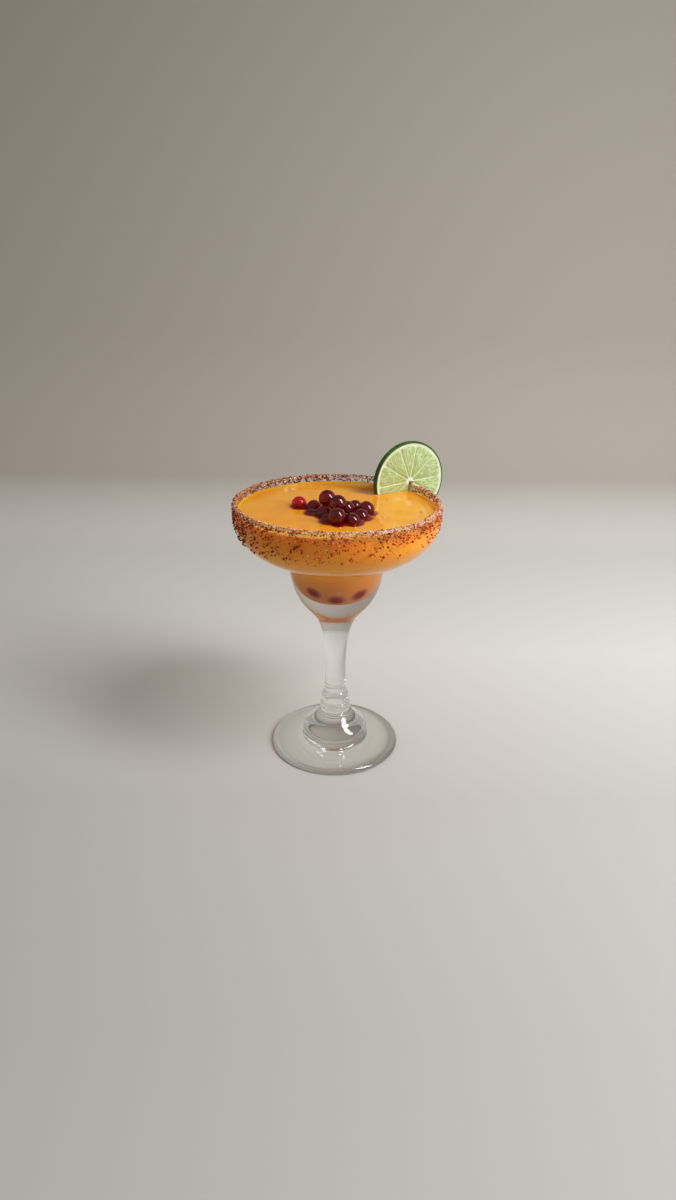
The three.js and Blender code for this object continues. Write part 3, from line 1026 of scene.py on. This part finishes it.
def crystal_shape(kind):
    """Corners and faces of one small crystal, taken from a primitive that is then removed."""
    deselect()
    if kind == "cube":
        bpy.ops.mesh.primitive_cube_add(size=1.5)
    else:
        bpy.ops.mesh.primitive_ico_sphere_add(subdivisions=1, radius=1.0)
    bpy.ops.object.mode_set(mode="EDIT")
    bpy.ops.mesh.select_all(action="SELECT")
    if kind == "cube":
        bpy.ops.mesh.bevel(offset=0.22, segments=1)
    else:
        bpy.ops.transform.vertex_random(offset=0.2, seed=4)
    if kind == "grit":
        bpy.ops.mesh.decimate(ratio=0.5)
    bpy.ops.mesh.select_all(action="SELECT")
    bpy.ops.mesh.quads_convert_to_tris()
    bpy.ops.object.mode_set(mode="OBJECT")
    shape = bpy.context.object
    corners = np.array([vertex.co[:] for vertex in shape.data.vertices])
    faces = np.array([face.vertices[:] for face in shape.data.polygons])
    bpy.data.objects.remove(shape)
    print(kind, "crystal:", len(corners), "corners", len(faces), "faces")
    return corners, faces


crumb, cube, grit = crystal_shape("crumb"), crystal_shape("cube"), crystal_shape("grit")

# %% [markdown]
# Ground chilli is dark red to orange, matt and a little oily. Salt is a clear crystal that looks white
# where light catches its faces. Each grain holds a random tint as an attribute, and a ramp turns it into
# its colour. Grains this thin let part of the lamp's light through, so the drink behind them still glows.

# %% Chilli and salt finishes
CHILLI = [(0.0, "#641A08"), (0.4, "#8A2C0C"), (0.8, "#B44814"), (1.0, "#D8742A")]
POWDER = [(0.0, "#76260C"), (0.5, "#A84A16"), (1.0, "#D0762E")]
STAINED = [(0.0, "#9C4A22"), (0.25, "#C07A46"), (0.55, "#DAA46E"), (0.8, "#E9C79E"), (1.0, "#F7E7CE")]
SALT = [(0.0, "#DBB086"), (0.5, "#ECD6BC"), (1.0, "#FBF4EA")]


def grain_material(name, stops, light_through, **looks):
    material, tree = new_material(name)
    tint = add_node(tree, "ShaderNodeAttribute", {"attribute_name": "tint"}).outputs["Fac"]
    tone = add_node(tree, "ShaderNodeValToRGB", stops=stops, Fac=tint)
    grain = add_node(tree, "ShaderNodeBsdfPrincipled", Base_Color=tone, **looks)
    let_through(tree, grain, light_through)
    return material


chilli = grain_material("ground_chilli", CHILLI, "#B0603A", Roughness=0.6, Specular_IOR_Level=0.25)
powder = grain_material("fine_chilli_powder", POWDER, "#C87848", Roughness=0.7)
oily = {"Subsurface_Weight": 0.3, "Subsurface_Radius": (1.0, 0.6, 0.4), "Subsurface_Scale": 0.4 * MM}
paste = grain_material("chilli_stained_salt", STAINED, "#CDA67E", Roughness=0.35, **oily)
salt = grain_material("coarse_salt", SALT, "#E4D8CE", Roughness=0.15, IOR=1.54, Transmission_Weight=0.35)

# %% Chilli and salt on the glass
scatter("salt_crust", crumb, 6800, (0.18, 0.42), (1, 0, 0), 0.0, paste, 20)
scatter("chilli_flakes", crumb, 3300, (0.3, 0.9), (0.28, 0.72, 0), 0.4, chilli, 21)
# Nearly half the dust goes on the inner lip, where its thin dark line is painted shade.
scatter("chilli_dust", grit, 7000, (0.09, 0.24), (0.2, 0.35, 0.45), 0.3, powder, 22)
scatter("salt_crystals", cube, 1500, (0.18, 0.46), (0.9, 0.1, 0), 0.0, salt, 23)
